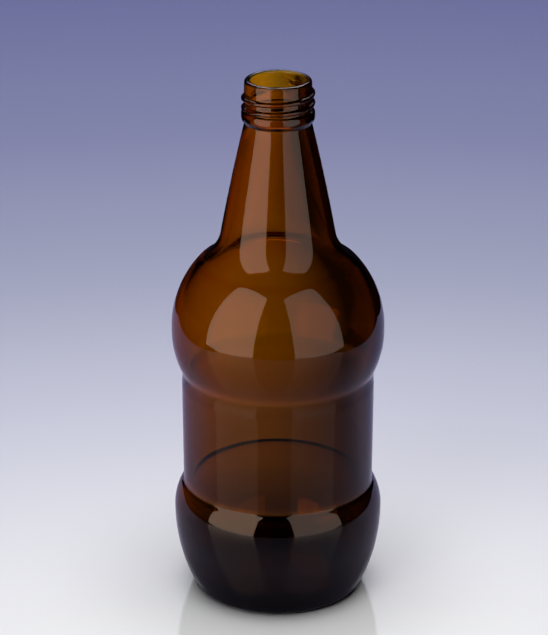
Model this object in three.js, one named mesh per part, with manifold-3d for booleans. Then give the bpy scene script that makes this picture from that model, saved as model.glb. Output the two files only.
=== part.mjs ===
// An amber screw-top bottle of moulded glass, empty and without its cap.
// Millimetres, +Z up. The origin is on the surface it stands on, in the middle of its base.
// The bottle is one piece of glass: a wall carried round the axis, with the cap's thread joined to it.

import * as THREE from 'three';
import { mergeVertices } from 'three/addons/utils/BufferGeometryUtils.js';
import Module from 'manifold-3d';

// Driving dimensions. A radius is measured from the bottle's axis, a height from the floor.
const overallHeight = 238;
const wallThickness = 3;

const standRingInner = 29.5; // the flat ring that the bottle stands on
const standRingOuter = 34.5;
const pushUpHeight = 4.5; // how far the middle of the base is pushed up
const baseThickness = 5; // glass in the middle of the base
const insideHeelFillet = 8;

const bulgeRadius = 46.5; // the swelling above the base
const bulgeHeight = 37.9;
const bulgeLowerArc = 81;
const bulgeUpperArc = 24.6;
const crownStart = 0.49; // radians up the upper arc, where the swelling turns in more tightly
const crownArc = 4.6;
const bulgeFillet = 1.9; // hollow fillet from the swelling up to the label panel

const panelBottomRadius = 42.35; // the label panel opens out a little upwards
const panelTopRadius = 42.7;
const creaseRadius = 42.4; // the panel eases in to the crease under the bulb
const creaseEase = 40;
const creaseFillet = 5;

const bulbRadius = 47; // the widest part, under the shoulder
const bulbLowerHeight = 122.4; // the widest part is straight between these two heights
const bulbUpperHeight = 124.1;
const bulbLowerArc = 39.8;
const bulbUpperArc = 45.6;
const shoulderStart = 0.728; // radians up the upper arc, where the shoulder turns in more tightly
const shoulderArc = 10;
const neckFillet = 17.5; // hollow fillet from the shoulder up to the neck

const neckBottomRadius = 25.15; // the neck is a cone with slightly swollen sides
const neckBottomHeight = 167.8;
const neckTopRadius = 14.5;
const neckTopHeight = 218.8;
const neckSwell = 0.35;

const beadRadius = 15.9; // the bead that the bottle is carried by, under the thread
const beadTop = 224.6;
const beadUpperRound = 1.2;
const beadSideBottom = 221.4; // the bead's straight side ends here and rounds in to the neck
const beadLowerRound = 3;

const finishRadius = 14.6; // the wall that carries the thread
const boreRadius = 12;
const lipOuterRound = 1.25;
const lipInnerRound = 0.9;

const threadPitch = 4.23;
const threadCrestRadius = 15.9;
const threadTurns = 1.8;
const threadStartHeight = 225; // middle of the ridge where it leaves the bead
const threadStartAngle = (7 / 9) * Math.PI;
const threadFade = 0.1; // turns over which each end of the ridge sinks into the wall
const threadRootHalfWidth = 1.25;
const threadCrestHalfWidth = 0.5;
const threadSink = 0.5; // how deep the ridge's own solid reaches into the wall
const threadStepsPerTurn = 32;

const sidesRound = 44;
const chordTolerance = 0.12; // how far a flat may lie inside the true curve of the outline

// The outline is drawn in a half plane: x is the radius and y the height.
const point = (radius, height) => new THREE.Vector2(radius, height);
const directionFrom = (centre, target) => Math.atan2(target.y - centre.y, target.x - centre.x);

// Points on an arc, as far apart as the tolerance lets them be.
function arcPoints(centre, radius, from, to) {
  const widestStep = 2 * Math.acos(1 - chordTolerance / Math.max(radius, 2 * chordTolerance));
  const steps = Math.max(2, Math.ceil(Math.abs(to - from) / widestStep));
  const curve = new THREE.EllipseCurve(centre.x, centre.y, radius, radius, from, to, to < from);
  return curve.getPoints(steps);
}

// Where two circles cross, at the higher of the two places.
function upperCrossing(centreA, radiusA, centreB, radiusB) {
  const between = centreB.clone().sub(centreA);
  const distance = between.length();
  const along = (radiusA ** 2 - radiusB ** 2 + distance ** 2) / (2 * distance);
  const aside = Math.sqrt(radiusA ** 2 - along ** 2);
  const unit = between.divideScalar(distance);
  const foot = centreA.clone().addScaledVector(unit, along);
  const normal = point(-unit.y, unit.x);
  const left = foot.clone().addScaledVector(normal, aside);
  const right = foot.clone().addScaledVector(normal, -aside);
  return left.y > right.y ? left : right;
}

// The centre of a circle that passes through two points and swells past the chord by a given amount.
function swollenArc(lower, upper, swell) {
  const chord = upper.clone().sub(lower);
  const radius = chord.lengthSq() / (8 * swell) + swell / 2;
  const inward = point(-chord.y, chord.x).normalize();
  const centre = lower.clone().add(upper).multiplyScalar(0.5).addScaledVector(inward, radius - swell);
  return { centre, radius };
}

// Centres of the arcs that make the body, found once and used for both faces of the wall.
const bulgeLowerCentre = point(bulgeRadius - bulgeLowerArc, bulgeHeight);
const bulgeUpperCentre = point(bulgeRadius - bulgeUpperArc, bulgeHeight);
const bulbLowerCentre = point(bulbRadius - bulbLowerArc, bulbLowerHeight);
const bulbUpperCentre = point(bulbRadius - bulbUpperArc, bulbUpperHeight);
const neck = swollenArc(
  point(neckBottomRadius, neckBottomHeight),
  point(neckTopRadius, neckTopHeight),
  neckSwell,
);
const shoulderCentre = bulbUpperCentre.clone().addScaledVector(
  point(Math.cos(shoulderStart), Math.sin(shoulderStart)), bulbUpperArc - shoulderArc,
);
const neckFilletCentre = upperCrossing(
  shoulderCentre, shoulderArc + neckFillet, neck.centre, neck.radius + neckFillet,
);
const crownCentre = bulgeUpperCentre.clone().addScaledVector(
  point(Math.cos(crownStart), Math.sin(crownStart)), bulgeUpperArc - crownArc,
);
const bulgeFilletCentre = point(panelBottomRadius + bulgeFillet, 0);
bulgeFilletCentre.y = crownCentre.y
  + Math.sqrt((crownArc + bulgeFillet) ** 2 - (bulgeFilletCentre.x - crownCentre.x) ** 2);
const creaseCentre = point(creaseRadius + creaseFillet, 0);
creaseCentre.y = bulbLowerHeight
  - Math.sqrt((bulbLowerArc + creaseFillet) ** 2 - (creaseCentre.x - bulbLowerCentre.x) ** 2);
const easeCentre = point(creaseRadius + creaseEase, creaseCentre.y);

// The body from the heel up to where the neck has narrowed to a given radius. The inside face is the same
// arcs, set in by the wall: an arc that swells outwards loses that much of its radius, a hollow one gains it.
function bodyOutline(heelAngle, inset, endRadius) {
  const bulgeTurn = directionFrom(crownCentre, bulgeFilletCentre);
  const creaseTurn = directionFrom(bulbLowerCentre, creaseCentre);
  const shoulderEnd = directionFrom(shoulderCentre, neckFilletCentre);
  const neckTurn = directionFrom(neck.centre, neckFilletCentre);
  const neckEnd = Math.acos((endRadius - neck.centre.x) / (neck.radius - inset));
  const lean = Math.acos(1 - (panelTopRadius - creaseRadius) / creaseEase);
  return [
    ...arcPoints(bulgeLowerCentre, bulgeLowerArc - inset, heelAngle, 0),
    ...arcPoints(bulgeUpperCentre, bulgeUpperArc - inset, 0, crownStart).slice(1),
    ...arcPoints(crownCentre, crownArc - inset, crownStart, bulgeTurn).slice(1),
    ...arcPoints(bulgeFilletCentre, bulgeFillet + inset, bulgeTurn - Math.PI, -Math.PI).slice(1),
    ...arcPoints(easeCentre, creaseEase + inset, Math.PI + lean, Math.PI),
    ...arcPoints(creaseCentre, creaseFillet + inset, Math.PI, creaseTurn + Math.PI).slice(1),
    ...arcPoints(bulbLowerCentre, bulbLowerArc - inset, creaseTurn, 0).slice(1),
    ...arcPoints(bulbUpperCentre, bulbUpperArc - inset, 0, shoulderStart),
    ...arcPoints(shoulderCentre, shoulderArc - inset, shoulderStart, shoulderEnd).slice(1),
    ...arcPoints(neckFilletCentre, neckFillet + inset, shoulderEnd - Math.PI, neckTurn - Math.PI).slice(1),
    ...arcPoints(neck.centre, neck.radius - inset, neckTurn, neckEnd).slice(1),
  ];
}

// The underside: a dome pushed up in the middle, the flat ring, and the heel that rounds up from it.
function undersideOutline() {
  const domeArc = (standRingInner ** 2 + pushUpHeight ** 2) / (2 * pushUpHeight);
  const domeCentre = point(0, pushUpHeight - domeArc);
  const domeEdge = directionFrom(domeCentre, point(standRingInner, 0));
  const dome = arcPoints(domeCentre, domeArc, Math.PI / 2, domeEdge);
  return [...dome, point(standRingOuter, 0)];
}

// The heel is an arc that leaves the floor flat at the ring's edge and touches the swelling's arc from
// inside. With the ring's edge and the swelling's centre known, its radius follows.
function heelArc() {
  const across = standRingOuter - bulgeLowerCentre.x;
  const room = bulgeLowerArc ** 2 - across ** 2 - bulgeHeight ** 2;
  const radius = room / (2 * (bulgeLowerArc - bulgeHeight));
  return { centre: point(standRingOuter, radius), radius };
}

// The bead, the thread's wall and the rounded lip, going up, and over into the bore.
function finishOutline() {
  const lipTop = overallHeight;
  const beadLowerAngle = -Math.acos((neckTopRadius - beadRadius + beadLowerRound) / beadLowerRound);
  return [
    ...arcPoints(point(beadRadius - beadLowerRound, beadSideBottom), beadLowerRound, beadLowerAngle, 0),
    ...arcPoints(point(beadRadius - beadUpperRound, beadTop - beadUpperRound), beadUpperRound, 0, Math.PI / 2),
    point(finishRadius, beadTop),
    ...arcPoints(point(finishRadius - lipOuterRound, lipTop - lipOuterRound), lipOuterRound, 0, Math.PI / 2),
    ...arcPoints(point(boreRadius + lipInnerRound, lipTop - lipInnerRound), lipInnerRound, Math.PI / 2, Math.PI),
  ];
}

// The inside of the base: a shallow dome over the push-up, rounded into the wall.
function insideBase() {
  const rise = pushUpHeight + baseThickness;
  const wallArc = bulgeLowerArc - wallThickness;
  const floorHeight = rise - 1.5;
  const heel = insideHeelFillet;
  const centre = point(0, floorHeight + heel);
  centre.x = bulgeLowerCentre.x + Math.sqrt((wallArc - heel) ** 2 - (centre.y - bulgeLowerCentre.y) ** 2);
  const wallAngle = directionFrom(bulgeLowerCentre, centre);
  const outline = [point(0, rise), ...arcPoints(centre, heel, -Math.PI / 2, wallAngle)];
  return { outline, wallAngle };
}

function bottleOutline() {
  const heel = heelArc();
  const heelAngle = directionFrom(bulgeLowerCentre, heel.centre);
  const heelPoints = arcPoints(heel.centre, heel.radius, -Math.PI / 2, heelAngle).slice(1, -1);
  const inside = insideBase();
  const insideBody = bodyOutline(inside.wallAngle, wallThickness, boreRadius).slice(1);
  return [
    ...undersideOutline(),
    ...heelPoints,
    ...bodyOutline(heelAngle, 0, neckTopRadius),
    ...finishOutline(),
    ...insideBody.reverse(),
    ...inside.outline.reverse(),
  ];
}

// The thread's ridge: a flat-topped section that climbs to the right round the wall.
function threadGeometry() {
  const section = [
    { out: 0, up: -threadRootHalfWidth },
    { out: 1, up: -threadCrestHalfWidth },
    { out: 1, up: threadCrestHalfWidth },
    { out: 0, up: threadRootHalfWidth },
  ];
  const steps = Math.round(threadTurns * threadStepsPerTurn);
  const rootRadius = finishRadius - threadSink;
  const positions = [];
  for (let i = 0; i <= steps; i++) {
    const turn = (i / steps) * threadTurns;
    const angle = threadStartAngle + turn * 2 * Math.PI;
    const height = threadStartHeight + turn * threadPitch;
    const fade = Math.min(1, turn / threadFade, (threadTurns - turn) / threadFade);
    const ridge = (threadCrestRadius - rootRadius) * Math.sin((Math.max(fade, 0.08) * Math.PI) / 2);
    for (const { out, up } of section) {
      const radius = rootRadius + out * ridge;
      positions.push(radius * Math.cos(angle), radius * Math.sin(angle), height + up);
    }
  }
  const indices = [];
  for (let i = 0; i < steps; i++) {
    for (let j = 0; j < section.length; j++) {
      const a = i * section.length + j;
      const b = i * section.length + ((j + 1) % section.length);
      indices.push(a, a + section.length, b, b, a + section.length, b + section.length);
    }
  }
  const last = steps * section.length;
  indices.push(0, 1, 2, 0, 2, 3);
  indices.push(last, last + 2, last + 1, last, last + 3, last + 2);
  const geometry = new THREE.BufferGeometry();
  geometry.setAttribute('position', new THREE.Float32BufferAttribute(positions, 3));
  geometry.setIndex(indices);
  return geometry;
}

const wasm = await Module();
wasm.setup();

function toSolid(geometry) {
  const bare = geometry.clone();
  bare.deleteAttribute('normal');
  bare.deleteAttribute('uv');
  const merged = mergeVertices(bare, 1e-4);
  return new wasm.Manifold(new wasm.Mesh({
    numProp: 3,
    vertProperties: merged.attributes.position.array,
    triVerts: new Uint32Array(merged.index.array),
  }));
}

function toGeometry(solid) {
  const mesh = solid.getMesh();
  const geometry = new THREE.BufferGeometry();
  geometry.setAttribute('position', new THREE.BufferAttribute(mesh.vertProperties, 3));
  geometry.setIndex(new THREE.BufferAttribute(mesh.triVerts, 1));
  geometry.computeVertexNormals();
  return geometry;
}

const amberGlass = new THREE.MeshStandardMaterial({ color: 0x5f3408, roughness: 0.05, metalness: 0 });

function makeBottle() {
  const wall = new THREE.LatheGeometry(bottleOutline(), sidesRound);
  wall.rotateX(Math.PI / 2);
  const glass = toSolid(wall).add(toSolid(threadGeometry()));
  const bottle = new THREE.Mesh(toGeometry(glass), amberGlass);
  bottle.name = 'bottle';
  return bottle;
}

const model = new THREE.Group();
model.add(makeBottle());

export default model;
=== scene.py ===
import math

import bpy
import numpy as np
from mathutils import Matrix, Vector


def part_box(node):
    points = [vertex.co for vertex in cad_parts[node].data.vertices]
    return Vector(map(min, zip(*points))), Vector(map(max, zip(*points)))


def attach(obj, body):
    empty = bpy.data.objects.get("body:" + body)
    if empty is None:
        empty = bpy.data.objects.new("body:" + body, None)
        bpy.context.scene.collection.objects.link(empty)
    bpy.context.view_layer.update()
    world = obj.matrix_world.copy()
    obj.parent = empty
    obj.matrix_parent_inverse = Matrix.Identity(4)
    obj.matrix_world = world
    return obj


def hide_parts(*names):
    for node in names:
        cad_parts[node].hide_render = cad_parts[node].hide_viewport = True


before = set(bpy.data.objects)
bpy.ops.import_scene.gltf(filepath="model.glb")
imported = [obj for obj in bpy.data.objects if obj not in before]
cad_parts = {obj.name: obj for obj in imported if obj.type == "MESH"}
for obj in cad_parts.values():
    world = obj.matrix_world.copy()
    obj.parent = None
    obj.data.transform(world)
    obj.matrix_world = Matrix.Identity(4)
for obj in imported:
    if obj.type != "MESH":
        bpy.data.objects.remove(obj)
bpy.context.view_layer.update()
mm = 0.001
print("frame loaded:", sorted(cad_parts))

# The photograph: its frame in pixels, the bottle's axis in it, and how it was seen.
photo = {
    "width": 548,
    "height": 635,
    "axisColumn": 278.0,  # column where the bottle's axis stands
    "bottlePixels": 539.3,  # the bottle's height, in pixels at the axis
    "middleHeightPixels": 290.0,  # height on the axis seen in the photo's middle row
    "distancePixels": 2900.0,  # camera to that point, in the same pixels
    "pitch": math.radians(22.05),  # the camera looks down by this much
}


# One pixel at the axis is a fixed length, so the lens is sensor times distance over height, all in pixels.
def makeCamera():
    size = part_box("bottle")
    pixel = (size[1][2] - size[0][2]) / photo["bottlePixels"]
    away = photo["distancePixels"] * pixel
    data = bpy.data.cameras.new("camera")
    data.sensor_width = 36
    data.lens = data.sensor_width * photo["distancePixels"] / photo["height"]
    data.clip_start = 0.01
    data.clip_end = 50
    camera = bpy.data.objects.new("camera", data)
    bpy.context.scene.collection.objects.link(camera)
    aside = (photo["width"] / 2 - photo["axisColumn"]) * pixel
    middle = photo["middleHeightPixels"] * pixel
    camera.location = (
        aside,
        -away * math.cos(photo["pitch"]),
        middle + away * math.sin(photo["pitch"]),
    )
    camera.rotation_euler = (math.pi / 2 - photo["pitch"], 0, 0)
    bpy.context.scene.camera = camera
    return camera


makeCamera()
print("camera placed")

# Driving dimensions of the bottle in millimetres, the same as the solid's.
bottle = {
    "overallHeight": 238.0,
    "wall": 3.0,
    "standRingInner": 29.5,
    "standRingOuter": 34.5,
    "pushUp": 4.5,
    "baseThickness": 5.0,
    "insideHeel": 8.0,
    "insideDish": 1.5,  # the inside floor lies this much lower at its edge
    "bulgeRadius": 46.5,
    "bulgeHeight": 37.9,
    "bulgeLowerArc": 81.0,
    "bulgeUpperArc": 24.6,
    "crownStart": 0.49,  # radians up the swelling's upper arc
    "crownArc": 4.6,
    "bulgeFillet": 1.9,
    "panelBottomRadius": 42.35,
    "panelTopRadius": 42.7,
    "creaseRadius": 42.4,
    "creaseEase": 40.0,
    "creaseFillet": 5.0,
    "bulbRadius": 47.0,
    "bulbLowerHeight": 122.4,
    "bulbUpperHeight": 124.1,
    "bulbLowerArc": 39.8,
    "bulbUpperArc": 45.6,
    "shoulderStart": 0.728,  # radians up the bulb's upper arc
    "shoulderArc": 10.0,
    "neckFillet": 17.5,
    "neckBottomRadius": 25.15,
    "neckBottomHeight": 167.8,
    "neckTopRadius": 14.5,
    "neckTopHeight": 218.8,
    "neckSwell": 0.35,
    "beadRadius": 15.9,
    "beadTop": 224.6,
    "beadUpperRound": 1.2,
    "beadSideBottom": 221.4,
    "beadLowerRound": 3.0,
    "finishRadius": 14.6,
    "boreRadius": 12.0,
    "lipOuterRound": 1.25,
    "lipInnerRound": 0.9,
}

thread = {
    "pitch": 4.23,
    "crestRadius": 15.9,
    "turns": 1.8,
    "startHeight": 225.0,
    "startAngle": 140.0,  # degrees round from +X, seen from above
    "fade": 36.0,  # degrees over which each end sinks into the wall
    "rootHalfWidth": 1.3,
    "crestHalfWidth": 0.35,
}

# What the mould and the blowing do to the plain shape, in millimetres.
moulding = {
    "softening": 0.3,  # how far the mould rounds each corner
    "insideSoftening": 2.2,  # the blown inside follows the mould less closely
    "insideFrom": 12.0,  # from the lip's top along the outline to where that begins
    "seamHeight": 0.05,  # the mould's parting line, which stands proud at both sides
    "seamWidth": 0.22,
    "seamBottom": 1.5,  # the line runs from this height
    "seamTop": 235.0,
}

# How closely the mesh follows the outline, in millimetres.
fineness = {
    "arcStep": 0.1,  # between points on an arc
    "outlineStep": 0.05,  # between points of the softened outline
    "closestRings": 0.16,
    "widestRings": 2.2,
    "sagitta": 0.006,  # how far the curve may bow out between two rings
    "threadBottom": 223.2,  # the rings are at their closest all the way up the thread
    "threadTop": 234.8,
    "threadInner": 13.5,
    "sidesRound": 176,  # a count
    "seamTurn": 0.006,  # radians between the close sides on a seam
}


# Points on a circle's arc: centre plus radius times cosine and sine.
def arcPoints(centre, radius, start, end):
    steps = max(4, int(abs(end - start) * abs(radius) / fineness["arcStep"]))
    angle = np.linspace(start, end, steps)
    return np.stack([centre[0] + radius * np.cos(angle), centre[1] + radius * np.sin(angle)], 1)


# The angle at which one point is seen from another.
def towards(centre, target):
    return math.atan2(target[1] - centre[1], target[0] - centre[0])


# Where two circles cross, at the higher of the two places.
def upperCrossing(centreA, radiusA, centreB, radiusB):
    between = np.subtract(centreB, centreA)
    distance = math.hypot(*between)
    along = (radiusA**2 - radiusB**2 + distance**2) / (2 * distance)
    aside = math.sqrt(radiusA**2 - along**2)
    unit = between / distance
    foot = np.array(centreA) + along * unit
    normal = np.array([-unit[1], unit[0]])
    places = [foot + aside * normal, foot - aside * normal]
    return max(places, key=lambda place: place[1])


# Centres of the body's arcs, each found from those that it touches.
def bodyArcs(shape):
    neckFoot = np.array([shape["neckBottomRadius"], shape["neckBottomHeight"]])
    neckHead = np.array([shape["neckTopRadius"], shape["neckTopHeight"]])
    chord = neckHead - neckFoot
    neckArc = chord @ chord / (8 * shape["neckSwell"]) + shape["neckSwell"] / 2
    inward = np.array([-chord[1], chord[0]]) / math.hypot(*chord)
    arcs = {
        "bulgeLower": np.array([shape["bulgeRadius"] - shape["bulgeLowerArc"], shape["bulgeHeight"]]),
        "bulgeUpper": np.array([shape["bulgeRadius"] - shape["bulgeUpperArc"], shape["bulgeHeight"]]),
        "bulbLower": np.array([shape["bulbRadius"] - shape["bulbLowerArc"], shape["bulbLowerHeight"]]),
        "bulbUpper": np.array([shape["bulbRadius"] - shape["bulbUpperArc"], shape["bulbUpperHeight"]]),
        "neck": (neckFoot + neckHead) / 2 + inward * (neckArc - shape["neckSwell"]),
        "neckArc": neckArc,
    }
    start = shape["shoulderStart"]
    inset = shape["bulbUpperArc"] - shape["shoulderArc"]
    arcs["shoulder"] = arcs["bulbUpper"] + inset * np.array([math.cos(start), math.sin(start)])
    arcs["neckFillet"] = upperCrossing(
        arcs["shoulder"], shape["shoulderArc"] + shape["neckFillet"],
        arcs["neck"], neckArc + shape["neckFillet"],
    )
    start = shape["crownStart"]
    inset = shape["bulgeUpperArc"] - shape["crownArc"]
    arcs["crown"] = arcs["bulgeUpper"] + inset * np.array([math.cos(start), math.sin(start)])
    filletRadius = shape["panelBottomRadius"] + shape["bulgeFillet"]
    reach = shape["crownArc"] + shape["bulgeFillet"]
    rise = math.sqrt(reach**2 - (filletRadius - arcs["crown"][0]) ** 2)
    arcs["bulgeFillet"] = np.array([filletRadius, arcs["crown"][1] + rise])
    creaseCentre = shape["creaseRadius"] + shape["creaseFillet"]
    reach = shape["bulbLowerArc"] + shape["creaseFillet"]
    drop = math.sqrt(reach**2 - (creaseCentre - arcs["bulbLower"][0]) ** 2)
    arcs["crease"] = np.array([creaseCentre, shape["bulbLowerHeight"] - drop])
    arcs["ease"] = np.array([shape["creaseRadius"] + shape["creaseEase"], arcs["crease"][1]])
    return arcs


# The body's side from the heel to where the neck has a given radius, set in by the wall for the inside.
def bodyOutline(shape, heelAngle, inset, endRadius):
    arcs = bodyArcs(shape)
    bulgeTurn = towards(arcs["crown"], arcs["bulgeFillet"])
    creaseTurn = towards(arcs["bulbLower"], arcs["crease"])
    crownStart = shape["crownStart"]
    shoulderStart = shape["shoulderStart"]
    shoulderEnd = towards(arcs["shoulder"], arcs["neckFillet"])
    neckTurn = towards(arcs["neck"], arcs["neckFillet"])
    neckEnd = math.acos((endRadius - arcs["neck"][0]) / (arcs["neckArc"] - inset))
    lean = math.acos(1 - (shape["panelTopRadius"] - shape["creaseRadius"]) / shape["creaseEase"])
    return np.concatenate([
        arcPoints(arcs["bulgeLower"], shape["bulgeLowerArc"] - inset, heelAngle, 0),
        arcPoints(arcs["bulgeUpper"], shape["bulgeUpperArc"] - inset, 0, crownStart),
        arcPoints(arcs["crown"], shape["crownArc"] - inset, crownStart, bulgeTurn),
        arcPoints(arcs["bulgeFillet"], shape["bulgeFillet"] + inset, bulgeTurn - math.pi, -math.pi),
        arcPoints(arcs["ease"], shape["creaseEase"] + inset, math.pi + lean, math.pi),
        arcPoints(arcs["crease"], shape["creaseFillet"] + inset, math.pi, creaseTurn + math.pi),
        arcPoints(arcs["bulbLower"], shape["bulbLowerArc"] - inset, creaseTurn, 0),
        arcPoints(arcs["bulbUpper"], shape["bulbUpperArc"] - inset, 0, shoulderStart),
        arcPoints(arcs["shoulder"], shape["shoulderArc"] - inset, shoulderStart, shoulderEnd),
        arcPoints(
            arcs["neckFillet"], shape["neckFillet"] + inset, shoulderEnd - math.pi, neckTurn - math.pi,
        ),
        arcPoints(arcs["neck"], arcs["neckArc"] - inset, neckTurn, neckEnd),
    ])


# The circle that leaves the floor at the flat ring's edge and touches the swelling's arc from inside.
def heelCircle(shape):
    centre = bodyArcs(shape)["bulgeLower"]
    across = shape["standRingOuter"] - centre[0]
    room = shape["bulgeLowerArc"] ** 2 - across**2 - centre[1] ** 2
    radius = room / (2 * (shape["bulgeLowerArc"] - centre[1]))
    return np.array([shape["standRingOuter"], radius]), radius


# The whole outline in a half plane, from the middle of the underside round by the lip to the inside floor.
def bottleOutline(shape):
    domeArc = (shape["standRingInner"] ** 2 + shape["pushUp"] ** 2) / (2 * shape["pushUp"])
    domeCentre = (0, shape["pushUp"] - domeArc)
    domeEdge = towards(domeCentre, (shape["standRingInner"], 0))
    heelCentre, heelRadius = heelCircle(shape)
    arcs = bodyArcs(shape)
    heelAngle = towards(arcs["bulgeLower"], heelCentre)
    beadFoot = -math.acos(
        (shape["neckTopRadius"] - shape["beadRadius"] + shape["beadLowerRound"]) / shape["beadLowerRound"]
    )
    lipTop = shape["overallHeight"]
    insideArc = shape["bulgeLowerArc"] - shape["wall"]
    insideRise = shape["pushUp"] + shape["baseThickness"]
    insideHeight = insideRise - shape["insideDish"] + shape["insideHeel"]
    reach = math.sqrt((insideArc - shape["insideHeel"]) ** 2 - (insideHeight - shape["bulgeHeight"]) ** 2)
    insideCentre = np.array([arcs["bulgeLower"][0] + reach, insideHeight])
    insideAngle = towards(arcs["bulgeLower"], insideCentre)
    inside = np.concatenate([
        np.array([[0, insideRise]]),
        arcPoints(insideCentre, shape["insideHeel"], -math.pi / 2, insideAngle),
        bodyOutline(shape, insideAngle, shape["wall"], shape["boreRadius"]),
    ])
    outside = np.concatenate([
        arcPoints(domeCentre, domeArc, math.pi / 2, domeEdge),
        arcPoints(heelCentre, heelRadius, -math.pi / 2, heelAngle),
        bodyOutline(shape, heelAngle, 0, shape["neckTopRadius"]),
        arcPoints(
            (shape["beadRadius"] - shape["beadLowerRound"], shape["beadSideBottom"]),
            shape["beadLowerRound"], beadFoot, 0,
        ),
        arcPoints(
            (shape["beadRadius"] - shape["beadUpperRound"], shape["beadTop"] - shape["beadUpperRound"]),
            shape["beadUpperRound"], 0, math.pi / 2,
        ),
        np.array([[shape["finishRadius"], shape["beadTop"]]]),
        arcPoints(
            (shape["finishRadius"] - shape["lipOuterRound"], lipTop - shape["lipOuterRound"]),
            shape["lipOuterRound"], 0, math.pi / 2,
        ),
    ])
    lipInside = arcPoints(
        (shape["boreRadius"] + shape["lipInnerRound"], lipTop - shape["lipInnerRound"]),
        shape["lipInnerRound"], math.pi / 2, math.pi,
    )
    return np.concatenate([outside, lipInside, inside[::-1]])


# The outline at equal steps, each point the bell-weighted mean of those around it, ends held.
def softened(points, reach):
    step = fineness["outlineStep"]
    length = np.concatenate([[0], np.cumsum(np.hypot(*np.diff(points, axis=0).T))])
    keep = np.concatenate([[True], np.diff(length) > 1e-6])
    places = np.arange(0, length[-1], step)
    even = np.stack([np.interp(places, length[keep], points[keep, i]) for i in (0, 1)], 1)
    span = int(4 * reach / step)  # the bell is next to nothing from here on
    weights = np.exp(-0.5 * (np.arange(-span, span + 1) * step / reach) ** 2)
    weights /= weights.sum()
    before = 2 * even[0] - even[span:0:-1]
    after = 2 * even[-1] - even[-2 : -span - 2 : -1]
    padded = np.concatenate([before, even, after])
    return np.stack([np.convolve(padded[:, i], weights, "valid") for i in (0, 1)], 1)


# Fewer points where the outline is straight: the gap is the root of eight sagittas over the curvature.
def spacedByCurve(points):
    step = fineness["outlineStep"]
    slope = np.gradient(points, step, axis=0)
    bend = np.gradient(slope, step, axis=0)
    curvature = np.abs(slope[:, 0] * bend[:, 1] - slope[:, 1] * bend[:, 0]) + 1e-6
    gap = np.sqrt(8 * fineness["sagitta"] / curvature)
    gap = np.clip(gap, fineness["closestRings"], fineness["widestRings"])
    radius, height = points.T
    beside = (height > fineness["threadBottom"]) & (height < fineness["threadTop"])
    onThread = beside & (radius > fineness["threadInner"])
    gap = np.where(onThread, fineness["closestRings"], gap)
    count = np.concatenate([[0], np.cumsum(step / gap)])[:-1]
    wanted = np.linspace(0, count[-1], int(count[-1]) + 2)
    return np.stack([np.interp(wanted, count, points[:, i]) for i in (0, 1)], 1)


# How far the thread stands out of the wall: a rounded ridge whose height climbs by one pitch a turn.
def threadRise(radius, height, angle):
    turned = np.mod(angle - math.radians(thread["startAngle"]), 2 * math.pi)
    crest = thread["crestRadius"] - bottle["finishRadius"]
    rise = np.zeros(np.broadcast(radius, angle).shape)
    for lap in range(math.ceil(thread["turns"])):
        turn = turned / (2 * math.pi) + lap
        middle = thread["startHeight"] + turn * thread["pitch"]
        fade = np.minimum(turn, thread["turns"] - turn) * 360 / thread["fade"]
        fade = np.sin(np.clip(fade, 0, 1) * math.pi / 2)
        across = np.abs(height - middle)
        flank = (thread["rootHalfWidth"] - across) / (thread["rootHalfWidth"] - thread["crestHalfWidth"])
        flank = np.clip(flank, 0, 1)
        ridge = flank * flank * (3 - 2 * flank)
        standing = bottle["finishRadius"] + crest * ridge * fade - radius
        rise = np.maximum(rise, standing * (ridge * fade > 0))
    return rise


# The blown inside is never quite round: a few slow waves run round and up the wall. In millimetres.
wander = {
    "depth": 0.16,
    "bottom": 16.0,
    "top": 205.0,
    "fadeIn": 12.0,  # height over which the waves grow to their full depth
    "fadeOut": 25.0,
    # Waves round, first angle, millimetres up for each radian, and share of the depth.
    "waves": [(2, 0.7, 31, 1.0), (3, -1.1, -19, 0.7), (5, 2.3, 13, 0.5), (8, -0.4, 23, 0.4)],
}


# The sum of the waves, each the sine of its angle round plus its climb, over the sum of their shares.
def insideWander(height, angle):
    total = sum(
        share * np.sin(count * angle + first + height / climb)
        for count, first, climb, share in wander["waves"]
    )
    shares = sum(wave[3] for wave in wander["waves"])
    fadeIn = np.clip((height - wander["bottom"]) / wander["fadeIn"], 0, 1)
    fadeOut = np.clip((wander["top"] - height) / wander["fadeOut"], 0, 1)
    return wander["depth"] * total * fadeIn * fadeOut / shares


# Even steps round the axis, with a few close ones on each mould seam.
def anglesRound():
    sides = fineness["sidesRound"]
    even = np.arange(sides) * 2 * math.pi / sides
    close = np.array([-2.2, -1.1, -0.5, 0.5, 1.1, 2.2]) * fineness["seamTurn"]
    extra = np.concatenate([close, close + math.pi])
    return np.sort(np.mod(np.concatenate([even, extra]), 2 * math.pi))


# How far the mould's parting line stands out: a bell across the seam, at both sides of the bottle.
def seamRise(radius, height, angle):
    across = np.abs(np.mod(angle + math.pi / 2, math.pi) - math.pi / 2) * radius
    line = moulding["seamHeight"] * np.exp(-((across / moulding["seamWidth"]) ** 2))
    return np.where((height > moulding["seamBottom"]) & (height < moulding["seamTop"]), line, 0)


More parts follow.
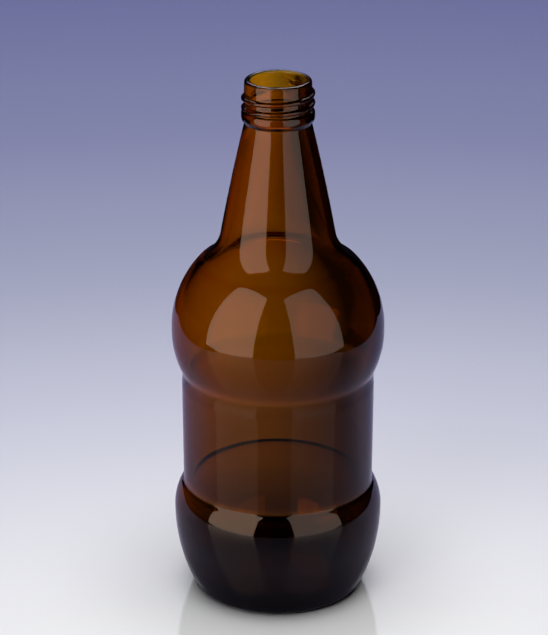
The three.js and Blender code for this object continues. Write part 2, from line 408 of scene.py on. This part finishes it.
# A closed surface: every outline point goes round the axis, and its two ends are single poles.
def closedRevolution(name, outline, angles, radialOffset):
    rings = outline[1:-1]
    radius = rings[:, 0:1] + radialOffset
    x = radius * np.cos(angles)
    y = radius * np.sin(angles)
    z = np.broadcast_to(rings[:, 1:2], x.shape)
    body = np.stack([x, y, z], 2).reshape(-1, 3)
    poles = np.array([[0, 0, outline[0, 1]], [0, 0, outline[-1, 1]]])
    points = np.concatenate([body, poles]) * mm
    rows, columns = x.shape
    row = np.arange(rows - 1)[:, None] * columns
    here = np.arange(columns)
    following = np.roll(here, -1)
    quads = np.stack([row + here, row + following, row + columns + following, row + columns + here], 2)
    quads = quads.reshape(-1, 4)
    firstPole = rows * columns
    lastRow = (rows - 1) * columns
    firstFan = np.stack([np.full(columns, firstPole), following, here], 1)
    lastFan = np.stack([np.full(columns, firstPole + 1), lastRow + here, lastRow + following], 1)
    mesh = bpy.data.meshes.new(name)
    faces = quads.tolist() + firstFan.tolist() + lastFan.tolist()
    mesh.from_pydata(points.tolist(), [], faces)
    mesh.polygons.foreach_set("use_smooth", np.ones(len(mesh.polygons), dtype=bool))
    mesh.update()
    thing = bpy.data.objects.new(name, mesh)
    bpy.context.scene.collection.objects.link(thing)
    return thing


# The bottle: the softened outline goes round, with thread and seams outside and slow waves inside.
def makeBottle():
    smooth = softened(bottleOutline(bottle), moulding["softening"])
    bore = int(np.argmax(smooth[:, 1])) + int(moulding["insideFrom"] / fineness["outlineStep"])
    inside = softened(smooth[bore:], moulding["insideSoftening"])
    smooth = np.concatenate([smooth[:bore], inside])
    smooth[[0, -1], 0] = 0
    outline = spacedByCurve(smooth)
    lip = int(np.argmax(outline[:, 1]))
    rings = outline[1:-1]
    radius = rings[:, 0:1]
    height = rings[:, 1:2]
    angles = anglesRound()
    outside = (np.arange(len(rings)) < lip)[:, None]
    outsideOffset = threadRise(radius, height, angles) + seamRise(radius, height, angles)
    offset = np.where(outside, outsideOffset, insideWander(height, angles))
    piece = closedRevolution("bottleGlass", outline, angles, offset)
    print("bottle glass:", len(outline), "rings,", len(piece.data.polygons), "faces")
    return piece


# An sRGB hex colour as the linear colour that a shader takes.
def linear(hexColour):
    parts = [int(hexColour[i : i + 2], 16) / 255 for i in (1, 3, 5)]
    return [c / 12.92 if c <= 0.04045 else ((c + 0.055) / 1.055) ** 2.4 for c in parts] + [1.0]


# Adds a node: settings are its properties or input values by name, links go from other nodes' outputs.
def addNode(tree, kind, settings=None, links=None):
    node = tree.nodes.new(kind)
    for name, value in (settings or {}).items():
        if name in node.inputs:
            node.inputs[name].default_value = value
        else:
            setattr(node, name, value)
    for name, source in (links or {}).items():
        tree.links.new(source, node.inputs[name])
    return node


# An empty material and its node tree.
def newMaterial(name):
    material = bpy.data.materials.new(name)
    material.use_nodes = True
    material.node_tree.nodes.clear()
    return material, material.node_tree


glass = {
    "ior": 1.52,  # soda-lime container glass
    "clearRed": 175.0,  # how much of each colour a metre of the glass takes out
    "clearGreen": 390.0,
    "clearBlue": 1700.0,
}


# Pressed and blown soda-lime glass, coloured through with iron and sulphur: clear, brown and very glossy.
def amberGlass():
    material, tree = newMaterial("amberSodaLimeGlass")
    strongest = glass["clearBlue"]
    colour = [1 - glass["clearRed"] / strongest, 1 - glass["clearGreen"] / strongest, 0, 1]
    surface = addNode(tree, "ShaderNodeBsdfPrincipled", {
        "Base Color": (1, 1, 1, 1),
        "Roughness": 0.0,
        "IOR": glass["ior"],
        "Transmission Weight": 1.0,
    })
    volume = addNode(tree, "ShaderNodeVolumeAbsorption", {"Color": colour, "Density": strongest})
    addNode(tree, "ShaderNodeOutputMaterial", {}, {
        "Surface": surface.outputs["BSDF"],
        "Volume": volume.outputs["Volume"],
    })
    return material


bottleGlass = makeBottle()
bottleGlass.data.materials.append(amberGlass())
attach(bottleGlass, "root")
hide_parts("bottle")
print("glass done")


# A colour ramp over a length in metres: its factor is the length less the first stop, over the whole span.
def rampNode(tree, stops, length):
    first = stops[0][0]
    last = stops[-1][0]
    limits = {"From Min": first, "From Max": last}
    factor = addNode(tree, "ShaderNodeMapRange", limits, {"Value": length})
    ramp = addNode(tree, "ShaderNodeValToRGB", {}, {"Fac": factor.outputs["Result"]})
    elements = ramp.color_ramp.elements
    elements[0].color = linear(stops[0][1])
    elements[1].color = linear(stops[-1][1])
    for place, colour in stops[1:-1]:
        elements.new((place - first) / (last - first)).color = linear(colour)
    return ramp.outputs["Color"]


# The three parts of a place on an object, or of a direction into the world.
def placeParts(tree, kind):
    place = addNode(tree, "ShaderNodeTexCoord")
    return addNode(tree, "ShaderNodeSeparateXYZ", {}, {"Vector": place.outputs[kind]}).outputs


# How far a place on an object is from a centre, in metres.
def distanceFrom(tree, centre):
    place = addNode(tree, "ShaderNodeTexCoord")
    away = addNode(tree, "ShaderNodeVectorMath", {"operation": "DISTANCE"}, {0: place.outputs["Object"]})
    away.inputs[1].default_value = centre
    return away.outputs["Value"]


# Two colours multiplied, red by red, green by green and blue by blue.
def product(tree, first, second):
    times = addNode(tree, "ShaderNodeVectorMath", {"operation": "MULTIPLY"}, {0: first, 1: second})
    return times.outputs["Vector"]


# The material's surface is what this output gives.
def setSurface(tree, surface):
    addNode(tree, "ShaderNodeOutputMaterial", {}, {"Surface": surface})


# The studio is level sheets just under the bottle, each at its own depth. Each is there for the camera, for
# reflections or for what shows through the glass. Lengths in the studio are in metres.
sheetDrop = 0.05  # millimetres from one sheet down to the next


# A sheet from its low corner to its high one, at a level counted down from the bottle's foot. Dull surfaces
# are lit by the same sheet that the camera sees.
def sheet(name, low, high, level, material, seenBy):
    height = -sheetDrop * level * mm
    corners = [(low[0], low[1]), (high[0], low[1]), (high[0], high[1]), (low[0], high[1])]
    mesh = bpy.data.meshes.new(name)
    mesh.from_pydata([(x, y, height) for x, y in corners], [], [(0, 1, 2, 3)])
    mesh.materials.append(material)
    piece = bpy.data.objects.new(name, mesh)
    bpy.context.scene.collection.objects.link(piece)
    piece.visible_camera = seenBy == "camera"
    piece.visible_diffuse = seenBy == "camera"
    piece.visible_glossy = seenBy == "glossy"
    piece.visible_transmission = seenBy == "transmission"
    piece.visible_shadow = False
    return piece


# The pale floor that the camera sees, with a painted pool of light: its colour darkens to lavender away
# from a point in front of the bottle.
floor = {
    "reach": 6.0,
    "centre": (0.0, -0.3, 0.0),  # it shades off with the distance from here
    # Painted pool of light: palest near the centre, darker and more lavender further off.
    "colours": [
        (0.25, "#E6E6E6"), (0.36, "#D8D8DE"), (0.5, "#C2C3D5"), (0.66, "#ABAEC8"), (0.94, "#8D90B8"),
        (1.3, "#777BAD"),
    ],
    "roughness": 0.09,
    "ior": 1.6,
}


# Pale satin floor with a painted pool of light: its colour is palest near the bottle and darkens to
# lavender away from it.
def paleSatinFloor():
    material, tree = newMaterial("paleSatinFloor")
    colour = rampNode(tree, floor["colours"], distanceFrom(tree, floor["centre"]))
    settings = {"Roughness": floor["roughness"], "IOR": floor["ior"]}
    surface = addNode(tree, "ShaderNodeBsdfPrincipled", settings, {"Base Color": colour})
    setSurface(tree, surface.outputs["BSDF"])
    return material


# The glowing table that only the glass mirrors: a painted reflection, with painted shade round the bottle.
table = {
    "front": -0.52,
    "back": 0.42,
    "side": 0.45,
    # Painted reflection: the sheet's glow is darkest in front of the bottle and paler behind it.
    "colours": [
        (-0.16, "#524E5A"), (-0.05, "#726C7C"), (0.06, "#908AA2"), (0.15, "#8680A4"), (0.9, "#7D80A8"),
    ],  # from front to back
    # Painted shade: the glow is darker close round the bottle, where the bottle's shadow would fall.
    "paintedShadeNear": [(0.035, "#7C7C7C"), (0.07, "#FFFFFF")],  # darker close round the bottle
    "roughness": 0.16,
    "ior": 1.5,
}


# A black gloss table with a dim light of its own, seen only in reflections: a painted reflection, darkest
# in front of the bottle and paler behind it, with painted shade close round the bottle.
def paintedReflectionTable():
    material, tree = newMaterial("paintedReflectionTable")
    colour = rampNode(tree, table["colours"], placeParts(tree, "Object")["Y"])
    paintedShadeNear = rampNode(tree, table["paintedShadeNear"], distanceFrom(tree, (0.0, 0.0, 0.0)))
    settings = {
        "Base Color": (0, 0, 0, 1),
        "Roughness": table["roughness"],
        "IOR": table["ior"],
        "Emission Strength": 1.0,
    }
    links = {"Emission Color": product(tree, colour, paintedShadeNear)}
    surface = addNode(tree, "ShaderNodeBsdfPrincipled", settings, links)
    setSurface(tree, surface.outputs["BSDF"])
    return material


# The light that shows through the glass.
through = {
    # Painted shadow: the darkest stops, right behind the bottle, stand for the bottle's shadow on the
    # floor.
    "colours": [
        (0.05, "#2A2A2A"), (0.08, "#5C5C5C"), (0.13, "#929292"), (0.3, "#C3C2C4"), (0.73, "#BCA29C"),
        (0.87, "#96969E"), (1.4, "#44444A"),
    ],  # from front to back
    "sides": [(-0.05, "#FFFFFF"), (0.0, "#CCCCCC"), (0.03, "#9A9A9A"), (0.06, "#3C3C3C")],  # left to right
}


# A dim light, darkest right behind the bottle, where it is painted shadow of the bottle, brightest half a
# metre back, and falling off to the right.
def dimLightBehind():
    material, tree = newMaterial("dimLightBehind")
    place = placeParts(tree, "Object")
    away = rampNode(tree, through["colours"], place["Y"])
    aside = rampNode(tree, through["sides"], place["X"])
    light = addNode(tree, "ShaderNodeEmission", {"Strength": 1.0}, {"Color": product(tree, away, aside)})
    setSurface(tree, light.outputs["Emission"])
    return material


# A bright patch far behind, which lights up the inside of the mouth.
glow = {
    "front": 0.785,
    "back": 0.9,
    "side": 0.06,
    "colour": "#FFE0C8",
    "brightness": 1.2,
}


def brightGlowBehind():
    material, tree = newMaterial("brightGlowBehind")
    settings = {"Color": linear(glow["colour"]), "Strength": glow["brightness"]}
    light = addNode(tree, "ShaderNodeEmission", settings)
    setSurface(tree, light.outputs["Emission"])
    return material


wideLow = (-floor["reach"], -floor["reach"])
wideHigh = (floor["reach"], floor["reach"])
tableLow = (-table["side"], table["front"])
tableHigh = (table["side"], table["back"])
glowLow = (-glow["side"], glow["front"])
glowHigh = (glow["side"], glow["back"])
sheet("paleFloor", wideLow, wideHigh, 1, paleSatinFloor(), "camera")
sheet("paintedReflectionSheet", tableLow, tableHigh, 2, paintedReflectionTable(), "glossy")
sheet("lightThroughGlass", wideLow, wideHigh, 4, dimLightBehind(), "transmission")
sheet("glowBehindMouth", glowLow, glowHigh, 3, brightGlowBehind(), "transmission")
print("studio built")

softboxes = {
    "width": 0.54,
    "distance": 0.535,
    "bottom": -0.02,
    "top": 0.93,
    "roll": 6.0,  # degrees by which the outer edge stands higher
    "leftTurn": -48.0,  # degrees to the side of the camera
    "leftBrightness": 2.0,  # radiance, where 1 shows as white
    "leftColour": "#FFE0C6",
    "rightTurn": 39.7,
    "rightBrightness": 1.0,
    "rightColour": "#FFEDE1",
}


# A standing softbox: a rectangle of even light that faces the bottle. It shows only in gloss and in glass.
def softbox(name, turn, brightness, colour):
    data = bpy.data.lights.new(name, "AREA")
    data.shape = "RECTANGLE"
    data.size = softboxes["width"]
    data.size_y = softboxes["top"] - softboxes["bottom"]
    data.energy = brightness * data.size * data.size_y * math.pi
    data.color = linear(colour)[:3]
    lamp = bpy.data.objects.new(name, data)
    bpy.context.scene.collection.objects.link(lamp)
    angle = math.radians(turn)
    lamp.location = (
        math.sin(angle) * softboxes["distance"],
        -math.cos(angle) * softboxes["distance"],
        (softboxes["top"] + softboxes["bottom"]) / 2,
    )
    roll = math.radians(softboxes["roll"]) * (-1 if turn > 0 else 1)
    lamp.rotation_euler = (math.pi / 2, roll, angle)
    lamp.visible_camera = False
    lamp.visible_diffuse = False
    return lamp


softbox("softboxLeft", softboxes["leftTurn"], softboxes["leftBrightness"], softboxes["leftColour"])
softbox("softboxRight", softboxes["rightTurn"], softboxes["rightBrightness"], softboxes["rightColour"])

# The broad soft light from above, and a weaker one from the left and the front.
floorLights = {
    "overheadLight": {"strength": 3.0, "spread": 54.0, "tilt": 0.0, "heading": 0.0},
    "sideLight": {"strength": 0.35, "spread": 24.0, "tilt": 50.0, "heading": -35.0},  # angles in degrees
}


# A distant broad light that only lights the floor and is not mirrored anywhere.
def broadLight(name, settings):
    data = bpy.data.lights.new(name, "SUN")
    data.energy = settings["strength"]
    data.angle = math.radians(settings["spread"])
    lamp = bpy.data.objects.new(name, data)
    bpy.context.scene.collection.objects.link(lamp)
    lamp.rotation_euler = (math.radians(settings["tilt"]), 0, math.radians(settings["heading"]))
    lamp.visible_camera = False
    lamp.visible_glossy = False
    lamp.visible_transmission = False
    return lamp


for name, settings in floorLights.items():
    broadLight(name, settings)

# The air behind the bottle, by the parts of a direction that has a length of one.
air = {
    "upwards": [
        (0.24, "#040408"), (0.36, "#1A1A20"), (0.45, "#90909A"), (0.56, "#9A9A9A"), (0.64, "#FFFFFF"),
        (0.76, "#FFFFFF"), (0.82, "#000000"),
    ],
    "backwards": [(0.1, "#000000"), (0.3, "#FFFFFF")],
    "sideways": [(0.25, "#FFFFFF"), (0.45, "#000000")],
    "brightness": 4.6,
}


# Bright air between 25 and 50 degrees up, straight behind: the floor and the glass's edges mirror it.
def brightAirBehind():
    world = bpy.data.worlds.new("brightAirBehind")
    bpy.context.scene.world = world
    world.use_nodes = True
    world.cycles_visibility.diffuse = False
    world.cycles_visibility.transmission = False
    tree = world.node_tree
    tree.nodes.clear()
    direction = placeParts(tree, "Generated")
    upwards = rampNode(tree, air["upwards"], direction["Z"])
    backwards = rampNode(tree, air["backwards"], direction["Y"])
    aside = addNode(tree, "ShaderNodeMath", {"operation": "ABSOLUTE"}, {0: direction["X"]})
    sideways = rampNode(tree, air["sideways"], aside.outputs["Value"])
    colour = product(tree, product(tree, upwards, backwards), sideways)
    light = addNode(tree, "ShaderNodeBackground", {"Strength": air["brightness"]}, {"Color": colour})
    addNode(tree, "ShaderNodeOutputWorld", {}, {"Surface": light.outputs["Background"]})


brightAirBehind()

scene = bpy.context.scene
scene.view_settings.view_transform = "Standard"
scene.cycles.max_bounces = 24
scene.cycles.transmission_bounces = 24
scene.cycles.caustics_refractive = False
scene.cycles.caustics_reflective = False
print("studio lit; denoising", scene.cycles.use_denoising)
